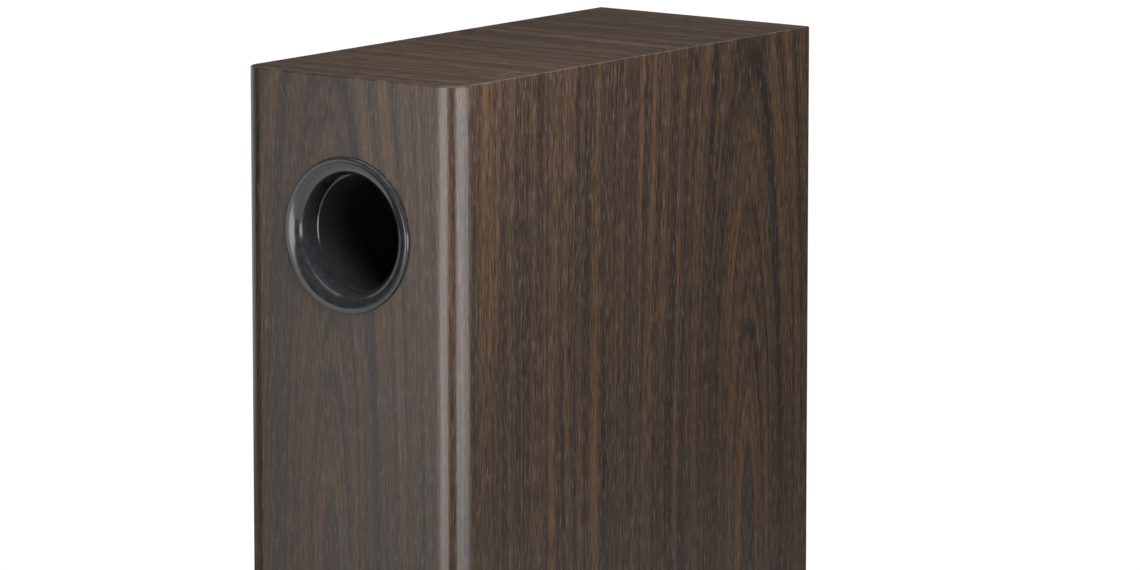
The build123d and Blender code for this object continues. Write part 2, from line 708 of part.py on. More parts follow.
for name, height in WOOFER_Z.items():
    section, axis = front_section(height), front_axis(height)
    plate_low = -MOTOR_TOP - TOP_PLATE_T
    magnet_low = plate_low - MAGNET_T
    yoke_low = magnet_low - YOKE_T
    save(woofer_basket(height), f"{name}_woofer_basket")
    save(woofer_surround(height), f"{name}_woofer_surround")
    save(woofer_cone(height), f"{name}_woofer_cone")
    save(dust_cap(height), f"{name}_woofer_dust_cap")
    save(woofer_spider(height), f"{name}_woofer_spider")
    coil_outline = [
        (COIL_R, -60),
        (COIL_R + COIL_T, -60),
        (COIL_R + COIL_T, -54),
        (COIL_R + 1.05, -54),
        (COIL_R + 1.05, -43),
        (COIL_R + COIL_T, -43),
        (COIL_R + COIL_T, -30.5),
        (COIL_R, -30.5),
    ]
    save(turned(section, axis, coil_outline), f"{name}_woofer_voice_coil")
    save(ring(section, axis, 14.6, 42, plate_low, -MOTOR_TOP), f"{name}_woofer_top_plate")
    save(ring(section, axis, 22, 45, magnet_low, plate_low), f"{name}_woofer_magnet")
    yoke_outline = [
        (4, yoke_low),
        (42, yoke_low),
        (42, magnet_low),
        (12.4, magnet_low),
        (12.4, -MOTOR_TOP),
        (4, -MOTOR_TOP),
    ]
    save(turned(section, axis, yoke_outline), f"{name}_woofer_yoke")

with BuildPart() as woofer_trim_rings:
    for height in WOOFER_Z.values():
        add(ring(front_section(height), front_axis(height), 64.7, 69.7, -2.4, 0.8))
save(woofer_trim_rings.part, "woofer_trim_rings")

woofer_screws = socket_screws(
    WOOFER_Z.values(),
    WOOFER_SCREW_CIRCLE,
    WOOFER_SCREW_COUNT,
    30,
    WOOFER_SCREW_R,
    WOOFER_SCREW_LENGTH,
    3.7,
    2.2,
)
save(woofer_screws, "woofer_screws")

# ================================================================ tweeter
THROAT_R = 17.0
RIM_Y = -9.15
PLATE_Y = -10.4
TWEETER_MAGNET_Y = PLATE_Y - 4
TWEETER_YOKE_Y = TWEETER_MAGNET_Y - 10
TWEETER_BACK_Y = TWEETER_YOKE_Y - 5
DOME_R = 13.0
tweeter_section, tweeter_axis = front_section(TWEETER_Z), front_axis(TWEETER_Z)

with BuildPart() as tweeter_faceplate:
    with BuildSketch(tweeter_section):
        with BuildLine():
            mouth = ThreePointArc((THROAT_R, -6.9), (28, -2.3), (44, 0))
            Polyline(
                mouth @ 1,
                (TWEETER_R, 0),
                (TWEETER_R, -TWEETER_REBATE),
                (37, -TWEETER_REBATE),
                (31, -8.2),
                (THROAT_R, -8.2),
                mouth @ 0,
            )
        make_face()
    revolve(axis=tweeter_axis)
    with BuildSketch(front_plane(TWEETER_Z)):
        with PolarLocations(TWEETER_SCREW_CIRCLE, TWEETER_SCREW_COUNT, start_angle=45):
            Circle(TWEETER_SCREW_R + 0.2)
    extrude(amount=-TWEETER_REBATE, mode=Mode.SUBTRACT)
save(tweeter_faceplate.part, "tweeter_faceplate")

with BuildPart() as tweeter_dome:
    with BuildSketch(tweeter_section):
        with BuildLine():
            skin = TangentArc((0, -3.4), (DOME_R, RIM_Y), tangent=(1, 0))
            roll = ThreePointArc(skin @ 1, (14.9, -7.7), (16.7, RIM_Y))
            Polyline(roll @ 1, (18.6, RIM_Y), (18.6, RIM_Y - 0.4), (16.4, RIM_Y - 0.4))
            under = ThreePointArc((16.4, RIM_Y - 0.4), (14.9, -8.15), (13.4, RIM_Y - 0.4))
            inside = TangentArc((0, -3.9), (12.6, RIM_Y - 0.4), tangent=(1, 0))
            Line(under @ 1, inside @ 1)
            Line(inside @ 0, skin @ 0)
        make_face()
    revolve(axis=tweeter_axis)
save(tweeter_dome.part, "tweeter_dome")

tweeter_coil_outline = [
    (12.4, -16),
    (12.7, -16),
    (12.7, -14.2),
    (13.3, -14.2),
    (13.3, -11),
    (12.7, -11),
    (12.7, -9.6),
    (12.4, -9.6),
]
save(turned(tweeter_section, tweeter_axis, tweeter_coil_outline), "tweeter_voice_coil")

tweeter_plate = ring(tweeter_section, tweeter_axis, 13.9, 31, TWEETER_MAGNET_Y, PLATE_Y)
tweeter_magnet = ring(
    tweeter_section, tweeter_axis, 18, 36, TWEETER_YOKE_Y, TWEETER_MAGNET_Y
)
save(tweeter_plate, "tweeter_top_plate")
save(tweeter_magnet, "tweeter_magnet")
tweeter_yoke_outline = [
    (0, TWEETER_BACK_Y),
    (33, TWEETER_BACK_Y),
    (33, TWEETER_YOKE_Y),
    (11.8, TWEETER_YOKE_Y),
    (11.8, PLATE_Y),
    (0, PLATE_Y),
]
save(turned(tweeter_section, tweeter_axis, tweeter_yoke_outline), "tweeter_yoke")

tweeter_screws = socket_screws(
    [TWEETER_Z],
    TWEETER_SCREW_CIRCLE,
    TWEETER_SCREW_COUNT,
    45,
    TWEETER_SCREW_R,
    TWEETER_SCREW_LENGTH,
    3.0,
    1.9,
)
save(tweeter_screws, "tweeter_screws")

# ================================================================ internal leads
LEAD_R = 2.2
LEAD_BEND = 25.0
LEADS = [
    [(20, FRONT_Y - TWEETER_BACK_Y, TWEETER_Z), (20, -60, TWEETER_Z), (20, -60, BOARD_TOP_Z)],
    *[
        [
            (TAG_X, FRONT_Y + MOTOR_TOP + TAG_LENGTH, WOOFER_Z[name]),
            (TAG_X, y, WOOFER_Z[name]),
            (TAG_X, y, BOARD_TOP_Z),
        ]
        for name, y in (("upper", -78), ("lower", -98))
    ],
    *[
        [
            (x, CUP_FLOOR_Y - STEM_IN, TERMINAL_Z),
            (x, 106, TERMINAL_Z),
            (x, 106, BOARD_TOP_Z),
        ]
        for x in POST_X.values()
    ],
]
with BuildPart() as internal_leads:
    for corners in LEADS:
        with BuildLine() as route:
            FilletPolyline(*corners, radius=LEAD_BEND)
        with BuildSketch(Plane(origin=route.line @ 0, z_dir=route.line % 0)):
            Circle(LEAD_R)
        sweep(path=route.line)
save(internal_leads.part, "internal_leads")

# ================================================================ plinth and feet
INSERT_R = 6.0
INSERT_FLANGE_R = 9.5
INSERT_FLANGE_T = 1.5
INSERT_LENGTH = 21.0
SPIKE_R = 4.0
SPIKE_HOLE_R = 4.05
COLLAR_R = 10.0
DISC_R = 15.0
DISC_T = 6.0
BOLT_HEAD_R = 5.0
BOLT_HEAD_H = 5.0
BOLT_SINK = 7.0
TIP_Z = 3.4

with BuildPart() as plinth:
    with BuildSketch(Plane.XY.offset(PLINTH_Z)):
        RectangleRounded(PLINTH_W, PLINTH_D, 14)
    extrude(amount=PLINTH_T)
    fillet(plinth.faces().sort_by(Axis.Z)[-1].edges(), 4)
    with BuildSketch(Plane.XY.offset(PLINTH_Z + PLINTH_T)):
        Rectangle(CABINET_W - 24, CABINET_D - 24)
    extrude(amount=PLINTH_STEP)
    for radius, depth, x, y in (
        (BOLT_R + 0.3, PLINTH_T + PLINTH_STEP, BOLT_X, BOLT_Y),
        (BOLT_HEAD_R + 0.5, BOLT_SINK, BOLT_X, BOLT_Y),
        (INSERT_R, INSERT_LENGTH + 0.5, FOOT_X, FOOT_Y),
    ):
        with BuildSketch(Plane.XY.offset(PLINTH_Z)):
            with GridLocations(2 * x, 2 * y, 2, 2):
                Circle(radius)
        extrude(amount=depth, mode=Mode.SUBTRACT)
save(plinth.part, "plinth")

with BuildPart() as plinth_bolts:
    with BuildSketch(Plane.XY.offset(PLINTH_Z + BOLT_SINK - BOLT_HEAD_H)):
        with GridLocations(2 * BOLT_X, 2 * BOLT_Y, 2, 2):
            Circle(BOLT_HEAD_R)
    extrude(amount=BOLT_HEAD_H)
    with BuildSketch(Plane.XY.offset(PLINTH_Z + BOLT_SINK)):
        with GridLocations(2 * BOLT_X, 2 * BOLT_Y, 2, 2):
            Circle(BOLT_R)
    extrude(amount=CABINET_Z + BOLT_GRIP - PLINTH_Z - BOLT_SINK)
    with BuildSketch(Plane.XY.offset(PLINTH_Z + BOLT_SINK - BOLT_HEAD_H)):
        with GridLocations(2 * BOLT_X, 2 * BOLT_Y, 2, 2):
            RegularPolygon(2.5, 6, major_radius=False)
    extrude(amount=3, mode=Mode.SUBTRACT)
save(plinth_bolts.part, "plinth_bolts")

with BuildPart() as spike_inserts:
    with BuildSketch(Plane.XY.offset(PLINTH_Z - INSERT_FLANGE_T)):
        with GridLocations(2 * FOOT_X, 2 * FOOT_Y, 2, 2):
            Circle(INSERT_FLANGE_R)
    extrude(amount=INSERT_FLANGE_T)
    with BuildSketch(Plane.XY.offset(PLINTH_Z)):
        with GridLocations(2 * FOOT_X, 2 * FOOT_Y, 2, 2):
            Circle(INSERT_R)
    extrude(amount=INSERT_LENGTH)
    with BuildSketch(Plane.XY.offset(PLINTH_Z - INSERT_FLANGE_T)):
        with GridLocations(2 * FOOT_X, 2 * FOOT_Y, 2, 2):
            Circle(SPIKE_HOLE_R)
    extrude(amount=INSERT_FLANGE_T + INSERT_LENGTH, mode=Mode.SUBTRACT)
save(spike_inserts.part, "spike_inserts")

FEET = {
    "front_left": (-FOOT_X, -FOOT_Y),
    "front_right": (FOOT_X, -FOOT_Y),
    "rear_left": (-FOOT_X, FOOT_Y),
    "rear_right": (FOOT_X, FOOT_Y),
}
COLLAR_TOP_Z = PLINTH_Z - INSERT_FLANGE_T - 0.2
for name, (x, y) in FEET.items():
    foot_section = Plane(origin=(x, y, 0), x_dir=(1, 0, 0), z_dir=(0, -1, 0))
    foot_axis = Axis((x, y, 0), (0, 0, 1))
    spike_outline = [
        (0, TIP_Z),
        (0.5, TIP_Z),
        (6, 15),
        (6, COLLAR_TOP_Z - 8.5),
        (COLLAR_R - 0.8, COLLAR_TOP_Z - 8.5),
        (COLLAR_R, COLLAR_TOP_Z - 7.7),
        (COLLAR_R, COLLAR_TOP_Z - 0.8),
        (COLLAR_R - 0.8, COLLAR_TOP_Z),
        (SPIKE_R, COLLAR_TOP_Z),
        (SPIKE_R, PLINTH_Z + INSERT_LENGTH - 1.5),
        (SPIKE_R - 1, PLINTH_Z + INSERT_LENGTH - 0.5),
        (0, PLINTH_Z + INSERT_LENGTH - 0.5),
    ]
    save(turned(foot_section, foot_axis, spike_outline), f"{name}_spike")
    disc_outline = [
        (0, 0),
        (DISC_R - 0.6, 0),
        (DISC_R, 0.6),
        (DISC_R, DISC_T - 1.5),
        (DISC_R - 1.5, DISC_T),
        (2.7, DISC_T),
        (1.0, TIP_Z - 0.6),
        (0, TIP_Z - 0.6),
    ]
    save(turned(foot_section, foot_axis, disc_outline), f"{name}_floor_disc")
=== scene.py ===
"""Looks of the floorstanding loudspeaker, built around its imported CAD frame. Metres, +Z up."""

import math

import bmesh
import bpy
import numpy as np
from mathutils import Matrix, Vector


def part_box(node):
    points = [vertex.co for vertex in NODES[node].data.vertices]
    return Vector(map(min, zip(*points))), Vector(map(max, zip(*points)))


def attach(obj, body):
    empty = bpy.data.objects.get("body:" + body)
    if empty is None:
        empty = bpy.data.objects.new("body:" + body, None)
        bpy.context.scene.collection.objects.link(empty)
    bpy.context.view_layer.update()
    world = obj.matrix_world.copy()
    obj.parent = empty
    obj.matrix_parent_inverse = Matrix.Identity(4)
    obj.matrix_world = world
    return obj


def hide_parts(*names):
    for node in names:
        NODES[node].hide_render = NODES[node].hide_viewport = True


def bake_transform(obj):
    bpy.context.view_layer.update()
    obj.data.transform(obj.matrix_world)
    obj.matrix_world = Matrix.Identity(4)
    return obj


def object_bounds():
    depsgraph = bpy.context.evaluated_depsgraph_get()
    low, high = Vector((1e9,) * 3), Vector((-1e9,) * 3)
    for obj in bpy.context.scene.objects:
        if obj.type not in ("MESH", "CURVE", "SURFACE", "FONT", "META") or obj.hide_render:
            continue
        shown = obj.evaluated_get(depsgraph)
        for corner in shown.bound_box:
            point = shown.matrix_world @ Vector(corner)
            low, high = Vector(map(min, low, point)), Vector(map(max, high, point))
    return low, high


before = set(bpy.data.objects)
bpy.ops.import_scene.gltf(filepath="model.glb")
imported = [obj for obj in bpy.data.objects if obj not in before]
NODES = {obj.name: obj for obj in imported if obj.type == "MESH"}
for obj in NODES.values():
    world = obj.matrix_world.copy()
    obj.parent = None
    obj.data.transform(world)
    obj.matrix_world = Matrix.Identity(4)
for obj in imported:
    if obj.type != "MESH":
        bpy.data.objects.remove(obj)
CAD_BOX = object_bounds()
scene = bpy.context.scene

MM = 0.001
REAR_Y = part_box("cabinet_carcass")[1].y
FRONT_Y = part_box("front_baffle")[0].y
TOP_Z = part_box("top_panel")[1].z


def middle(node):
    low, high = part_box(node)
    return (low + high) / 2


# ---------------------------------------------------------------- camera

# The place and direction that fit the photograph's perspective.
CAMERA_PLACE = (-2.9449, 3.8614, 1.6498)
CAMERA_FACING = (0.5938, -0.7878, -0.1631)
CAMERA_LENS = 216.7
camera_data = bpy.data.cameras.new("camera")
camera_data.lens = CAMERA_LENS
camera_data.sensor_width = 36
camera_data.clip_start = 0.1
camera_data.clip_end = 100
camera = bpy.data.objects.new("camera", camera_data)
camera.location = CAMERA_PLACE
camera.rotation_mode = "QUATERNION"
camera.rotation_quaternion = Vector(CAMERA_FACING).to_track_quat("-Z", "Y")
scene.collection.objects.link(camera)
scene.camera = camera


# ---------------------------------------------------------------- lights

def area_light(name, place, facing, width, height, radiance, gives):
    """A rectangle of even light that gives highlights, fill or both. The camera never sees it."""
    data = bpy.data.lights.new(name, "AREA")
    data.shape = "RECTANGLE"
    data.size = width
    data.size_y = height
    data.energy = radiance * width * height * math.pi
    panel = bpy.data.objects.new(name, data)
    panel.location = place
    panel.rotation_mode = "QUATERNION"
    panel.rotation_quaternion = Vector(facing).to_track_quat("-Z", "Y")
    panel.visible_camera = False
    panel.visible_glossy = gives != "fill"
    panel.visible_diffuse = gives != "highlights"
    scene.collection.objects.link(panel)


def softbox(name, azimuth, distance, width, bottom, top, radiance, gives):
    """An upright panel that faces the cabinet. Azimuth is in degrees from +Y towards +X."""
    turn = math.radians(azimuth)
    across = (math.sin(turn), math.cos(turn))
    place = (distance * across[0], distance * across[1], (bottom + top) / 2)
    area_light(name, place, (-across[0], -across[1], 0), width, top - bottom, radiance, gives)


# Low bright panels only give the gloss its highlights, and wide ones only fill, because a tall bright
# panel turns a glossy wall white at a glancing angle.
# name, azimuth, distance, width, bottom, top, radiance, gives
for row in (
    ("left_softbox", -1.5, 3.0, 2.0, 0.0, 1.0, 5.0, "highlights"),
    ("left_softbox_edge", 28.0, 3.0, 1.15, 0.0, 1.0, 1.5, "highlights"),
    ("right_softbox_near", -75.0, 3.0, 2.0, 0.0, 1.0, 4.6, "highlights"),
    ("right_softbox_far", -107.0, 3.0, 1.35, 0.0, 1.0, 3.5, "highlights"),
    ("left_fill", 4.0, 3.0, 2.75, 0.0, 1.6, 0.9, "fill"),
    ("right_fill", -85.0, 3.0, 2.6, 0.0, 1.6, 0.7, "fill"),
    ("front_softbox", 176.0, 3.6, 1.8, 0.2, 2.6, 0.9, "both"),
    ("front_side_softbox", 146.0, 3.4, 1.3, 0.1, 1.0, 5.0, "highlights"),
    ("front_fill", 172.0, 3.6, 3.4, 0.2, 2.6, 2.0, "fill"),
    ("far_side_softbox", 95.0, 3.0, 2.6, 0.2, 2.4, 0.8, "both"),
    ("far_side_fill", 95.0, 3.0, 2.6, 0.2, 2.4, 1.9, "fill"),
):
    softbox(*row)
area_light("overhead_softbox", (0, -1.0, 3.2), (0, 0, -1), 2.4, 4.2, 1.2, "both")
area_light("overhead_fill", (0, -0.4, 3.1), (0, 0, -1), 2.4, 3.6, 2.9, "fill")
# A near panel above the photographed corner, so that the light falls off down the walls.
KEY_PLACE = Vector((-0.52, 0.43, 1.38))
KEY_TARGET = Vector((0, 0.05, 0.80))
area_light("key", KEY_PLACE, KEY_TARGET - KEY_PLACE, 0.4, 0.4, 31.0, "fill")

# The camera sees a white backdrop. Every other ray sees the dim room.
BACKDROP = 1.05
ROOM = 0.05
world = bpy.data.worlds.new("studio")
scene.world = world
world.use_nodes = True
world_nodes = world.node_tree.nodes
world_links = world.node_tree.links
world_nodes.clear()
seen = world_nodes.new("ShaderNodeBackground")
seen.inputs["Color"].default_value = (1, 1, 1, 1)
seen.inputs["Strength"].default_value = BACKDROP
ambient = world_nodes.new("ShaderNodeBackground")
ambient.inputs["Color"].default_value = (1.0, 0.98, 0.96, 1)
ambient.inputs["Strength"].default_value = ROOM
which = world_nodes.new("ShaderNodeMixShader")
rays = world_nodes.new("ShaderNodeLightPath")
world_out = world_nodes.new("ShaderNodeOutputWorld")
world_links.new(rays.outputs["Is Camera Ray"], which.inputs["Fac"])
world_links.new(ambient.outputs[0], which.inputs[1])
world_links.new(seen.outputs[0], which.inputs[2])
world_links.new(which.outputs[0], world_out.inputs[0])
scene.view_settings.view_transform = "Standard"


# ---------------------------------------------------------------- material nodes

class Graph:
    """One material: a Principled surface whose inputs come from object coordinates."""

    def __init__(self, name, **surface):
        self.material = bpy.data.materials.new(name)
        self.material.use_nodes = True
        self.nodes = self.material.node_tree.nodes
        self.links = self.material.node_tree.links
        self.nodes.clear()
        self.output = self.nodes.new("ShaderNodeOutputMaterial")
        self.surface = self.nodes.new("ShaderNodeBsdfPrincipled")
        self.links.new(self.surface.outputs[0], self.output.inputs[0])
        self.place = self.nodes.new("ShaderNodeTexCoord").outputs["Object"]
        for key, value in surface.items():
            self.surface.inputs[key.replace("_", " ")].default_value = value

    def put(self, socket, value):
        if isinstance(value, bpy.types.NodeSocket):
            self.links.new(value, socket)
        else:
            socket.default_value = value

    def math(self, operation, a, b=0.0, c=0.0):
        node = self.nodes.new("ShaderNodeMath")
        node.operation = operation
        for socket, value in zip(node.inputs, (a, b, c)):
            self.put(socket, value)
        return node.outputs[0]

    def times(self, a, b):
        return self.math("MULTIPLY", a, b)

    def plus(self, a, b):
        return self.math("ADD", a, b)

    def minus(self, a, b):
        return self.math("SUBTRACT", a, b)

    def length(self, a, b):
        return self.math("SQRT", self.plus(self.times(a, a), self.times(b, b)))

    def split(self):
        node = self.nodes.new("ShaderNodeSeparateXYZ")
        self.put(node.inputs[0], self.place)
        return node.outputs

    def join(self, x=0.0, y=0.0, z=0.0):
        node = self.nodes.new("ShaderNodeCombineXYZ")
        for socket, value in zip(node.inputs, (x, y, z)):
            self.put(socket, value)
        return node.outputs[0]

    def stretched(self, scale):
        node = self.nodes.new("ShaderNodeVectorMath")
        node.operation = "MULTIPLY"
        self.put(node.inputs[0], self.place)
        self.put(node.inputs[1], scale)
        return node.outputs[0]

    def noise(self, scale=1.0, vector=None, detail=3.0, roughness=0.55, distortion=0.0):
        node = self.nodes.new("ShaderNodeTexNoise")
        self.put(node.inputs["Vector"], self.place if vector is None else vector)
        node.inputs["Scale"].default_value = scale
        node.inputs["Detail"].default_value = detail
        node.inputs["Roughness"].default_value = roughness
        node.inputs["Distortion"].default_value = distortion
        return node.outputs[0]

    def cells(self, scale):
        node = self.nodes.new("ShaderNodeTexVoronoi")
        self.put(node.inputs["Vector"], self.place)
        node.inputs["Scale"].default_value = scale
        return node.outputs["Distance"]

    def span(self, value, low, high, to_low=0.0, to_high=1.0, smooth=False):
        node = self.nodes.new("ShaderNodeMapRange")
        node.interpolation_type = "SMOOTHSTEP" if smooth else "LINEAR"
        for socket, item in zip(node.inputs, (value, low, high, to_low, to_high)):
            self.put(socket, item)
        return node.outputs[0]

    def spread(self, noise, low, high):
        """A noise's usual range, mapped to low and high."""
        return self.span(noise, 0.3, 0.7, low, high)

    def ramp(self, value, *stops):
        """Stops are (place, colour) pairs."""
        node = self.nodes.new("ShaderNodeValToRGB")
        self.put(node.inputs[0], value)
        band = node.color_ramp.elements
        while len(band) < len(stops):
            band.new(0.5)
        for element, (place, colour) in zip(band, stops):
            element.position = place
            element.color = (*colour, 1)
        return node.outputs[0]

    def mix(self, share, a, b, blend="MIX"):
        node = self.nodes.new("ShaderNodeMix")
        node.data_type = "RGBA"
        node.blend_type = blend
        self.put(node.inputs["Factor"], share)
        for socket, value in ((node.inputs[6], a), (node.inputs[7], b)):
            self.put(socket, (*value, 1) if isinstance(value, tuple) else value)
        return node.outputs[2]

    def wave(self, value, period):
        """0 to 1 and back once in each period."""
        turn = self.times(value, 2 * math.pi / period)
        return self.math("MULTIPLY_ADD", self.math("SINE", turn), 0.5, 0.5)

    def polar(self, centre, axis="Y"):
        """Radius and angle round an axis through centre."""
        x, y, z = self.split()
        a, b = {"Y": ((x, centre.x), (z, centre.z)), "Z": ((x, centre.x), (y, centre.y))}[axis]
        across = self.minus(*a)
        up = self.minus(*b)
        return self.length(across, up), self.math("ARCTAN2", up, across)

    def colour(self, value):
        self.put(self.surface.inputs["Base Color"], value)
        return self

    def rough(self, value):
        self.put(self.surface.inputs["Roughness"], value)
        return self

    def bump(self, height, distance, strength):
        node = self.nodes.new("ShaderNodeBump")
        node.inputs["Strength"].default_value = strength
        node.inputs["Distance"].default_value = distance
        self.put(node.inputs["Height"], height)
        self.put(self.surface.inputs["Normal"], node.outputs[0])
        return self


# ---------------------------------------------------------------- wood film

SLATE_DARK = (0.0140, 0.0096, 0.0076)
SLATE = (0.0250, 0.0168, 0.0125)
GREY_BROWN = (0.0300, 0.0205, 0.0150)
BROWN = (0.0390, 0.0236, 0.0142)
ORANGE_BROWN = (0.0700, 0.0385, 0.0190)
FLECK = (0.100, 0.085, 0.075)
# The stripes bend into arches above this height. ARCH_SLENDER is an arch's half-width over its rise.
ARCH_FOOT_Z = TOP_Z - 0.349
ARCH_SLENDER = 0.12
# Noise scales in a metre: across the grain, then along it.
DRIFT = (16.0, 2.6)
PATCHES = (11.0, 3.0)
FIBRES = (1500.0, 52.0)
FLECKS = (900.0, 85.0)
# The same for the stripes: across a ring, across the grain, along the grain.
BROAD_STRIPES = (120.0, 9.0, 1.1)
NARROW_STRIPES = (420.0, 30.0, 5.0)


def wood_film(name, across, along, arches):
    """Printed film with nested arches. across, along and arches make their values from the graph."""
    g = Graph(name, Specular_IOR_Level=0.5)
    s = across(g)
    t = along(g)
    offset = g.minus(s, arches(g, s))

    def grain(size, seed, **options):
        return g.noise(1.0, g.join(g.times(s, size[0]), seed, g.times(t, size[1])), **options)

    def stripe(size, roughness):
        place = g.join(g.times(ring, size[0]), g.times(offset, size[1]), g.times(t, size[2]))
        return g.noise(1.0, place, detail=3.0, roughness=roughness)

    rise = g.times(g.math("MAXIMUM", g.minus(t, ARCH_FOOT_Z), 0.0), ARCH_SLENDER)
    drift = g.noise(1.0, g.join(g.times(s, DRIFT[0]), g.times(t, DRIFT[1]), 3.0), detail=2.0)
    ring = g.plus(g.length(offset, rise), g.times(drift, 0.010))
    stripes = g.plus(
        g.times(stripe(BROAD_STRIPES, 0.62), 0.62), g.times(stripe(NARROW_STRIPES, 0.6), 0.38)
    )
    fibre = grain(FIBRES, 7.0, detail=2.0, roughness=0.6)
    fleck = grain(FLECKS, 2.0, detail=1.0)
    patch = grain(PATCHES, 5.0, detail=2.0)
    tone = g.ramp(stripes, (0.36, SLATE_DARK), (0.45, SLATE), (0.52, BROWN), (0.64, ORANGE_BROWN))
    greyer = g.mix(g.span(patch, 0.35, 0.75, 0.0, 0.55), tone, GREY_BROWN)
    shade = g.ramp(
        fibre, (0.32, (0.40, 0.40, 0.41)), (0.50, (0.94, 0.94, 0.95)), (0.68, (1.60, 1.58, 1.62))
    )
    fibrous = g.mix(1.0, greyer, shade, "MULTIPLY")
    g.colour(g.mix(g.span(fleck, 0.56, 0.80, 0.0, 0.60), fibrous, FLECK))
    g.rough(g.spread(fibre, 0.20, 0.27))
    g.bump(g.plus(g.times(fibre, 0.7), g.times(fleck, 0.3)), 0.00005, 0.55)
    return g.material


def round_the_cabinet(g):
    """Distance round the cabinet from the middle of its rear face, positive towards +X."""
    x, y, _ = g.split()
    back = g.minus(REAR_Y, y)
    return g.math("MULTIPLY_ADD", g.math("SIGN", x), back, x)


def upright(g):
    return g.split()[2]


def arches_on_three_faces(g, s):
    """The middle line of the arches on the rear wall, and on the -X and +X walls."""
    rear = g.math("LESS_THAN", g.math("ABSOLUTE", s), 0.105)
    side = g.span(g.math("SIGN", s), -1.0, 1.0, -0.44, 0.33)
    return g.plus(g.times(rear, 0.015), g.times(g.minus(1.0, rear), side))


def shifted(g, axis, distance):
    """A coordinate moved along, so that each face shows another part of the pattern."""
    return g.plus(g.split()[axis], distance)


wood_round = wood_film("wood_round", round_the_cabinet, upright, arches_on_three_faces)
wood_front = wood_film("wood_front", lambda g: shifted(g, 0, 3.0), upright, lambda g, s: 3.02)
wood_top = wood_film(
    "wood_top", lambda g: shifted(g, 1, 5.0), lambda g: shifted(g, 0, 0.4), lambda g, s: 4.6
)


# ---------------------------------------------------------------- other materials

def moulded(name, colour, roughness, grain=2600.0, depth=0.00003, **surface):
    """Moulded, cast or sprayed: a fine grain and a faint broad unevenness."""
    g = Graph(name, **surface)
    fine = g.noise(grain, detail=2.0)
    wide = g.noise(22.0, detail=3.0)
    darker = tuple(c * 0.75 for c in colour)
    lighter = tuple(c * 1.3 for c in colour)
    g.colour(g.ramp(wide, (0.35, darker), (0.65, lighter)))
    broad_sheen = g.spread(wide, roughness - 0.04, roughness + 0.04)
    g.rough(g.plus(broad_sheen, g.spread(fine, -0.03, 0.03)))
    g.bump(fine, depth, 0.6)
    return g.material


def worked_metal(name, colour, roughness, centre, axis, pitch, **surface):
    """Turned metal: fine rings round an axis, with a little uneven tarnish."""
    g = Graph(name, Metallic=1.0, **surface)
    radius, angle = g.polar(centre, axis)
    turned = g.join(g.times(radius, 1.0 / pitch), g.times(angle, 1.5), 0.0)
    rings = g.noise(1.0, turned, detail=2.0)
    stain = g.noise(60.0, detail=3.0)
    g.colour(g.mix(stain, tuple(c * 0.72 for c in colour), colour))
    ring_sheen = g.spread(rings, roughness - 0.06, roughness + 0.06)
    g.rough(g.plus(ring_sheen, g.spread(stain, -0.03, 0.05)))
    g.bump(rings, 0.00003, 0.4)
    return g.material


def pulp(name, centre, colour):
    """Coated paper pulp with short fibres in every direction and faint rings."""
    g = Graph(name, Specular_IOR_Level=0.4)
    radius, angle = g.polar(centre)
    felt = g.noise(900.0, detail=4.0, roughness=0.7, distortion=1.2)
    clumps = g.noise(120.0, detail=3.0)
    pressed = g.join(g.times(radius, 420.0), g.times(angle, 2.0), 0.0)
    rings = g.noise(1.0, pressed, detail=2.0)
    tone = g.plus(g.times(felt, 0.85), g.times(clumps, 0.15))
    dark = tuple(c * 0.5 for c in colour)
    light = tuple(c * 2.0 for c in colour)
    g.colour(g.ramp(tone, (0.36, dark), (0.52, colour), (0.68, light)))
    g.rough(g.spread(felt, 0.40, 0.56))
    g.bump(g.plus(g.times(felt, 0.7), g.times(rings, 0.3)), 0.00012, 0.7)
    return g.material


def woven(name, pitch, low, high, roughness, depth, **surface):
    """Plain weave seen from the front, with painted shade in the gaps between the threads."""
    g = Graph(name, **surface)
    x, _, z = g.split()
    warp = g.wave(x, pitch)
    weft = g.wave(z, pitch)
    over = g.times(warp, g.minus(1.0, weft))
    under = g.times(weft, g.minus(1.0, warp))
    threads = g.math("MAXIMUM", over, under)
    stain = g.noise(180.0, detail=3.0)
    # Painted shade: dark in the gaps and lighter where a thread lies on top, varied at random.
    g.colour(g.mix(g.times(threads, g.spread(stain, 0.6, 1.1)), low, high))
    g.rough(g.spread(stain, roughness - 0.06, roughness + 0.06))
    g.bump(threads, depth, 0.7)
    return g.material


def winding(name, axis, pitch):
    """Enamelled wire laid turn by turn along an axis, with painted shade in the grooves between the
    turns.
    """
    g = Graph(name, Metallic=1.0, Coat_Weight=0.6, Coat_Roughness=0.15)
    turns = g.wave(g.split()[axis], pitch)
    tone = g.noise(140.0, detail=2.0)
    # Painted shade: the colour is dark between the turns and bright on their crests.
    share = g.times(turns, g.spread(tone, 0.7, 1.0))
    g.colour(g.mix(share, (0.20, 0.075, 0.035), (0.80, 0.40, 0.24)))
    g.rough(g.spread(tone, 0.24, 0.36))
    g.bump(turns, pitch * 0.4, 0.8)
    return g.material


def speckled(name, dark, light, scale, roughness):
    """Pressed or sintered grains of two tones."""
    g = Graph(name)
    grain = g.noise(scale, detail=4.0, roughness=0.7)
    spots = g.cells(scale * 0.6)
    tone = g.plus(g.times(grain, 0.7), g.times(spots, 0.4))
    g.colour(g.ramp(tone, (0.38, dark), (0.72, light)))
    g.rough(g.spread(grain, roughness - 0.05, roughness + 0.08))
    g.bump(grain, 0.00008, 0.6)
    return g.material


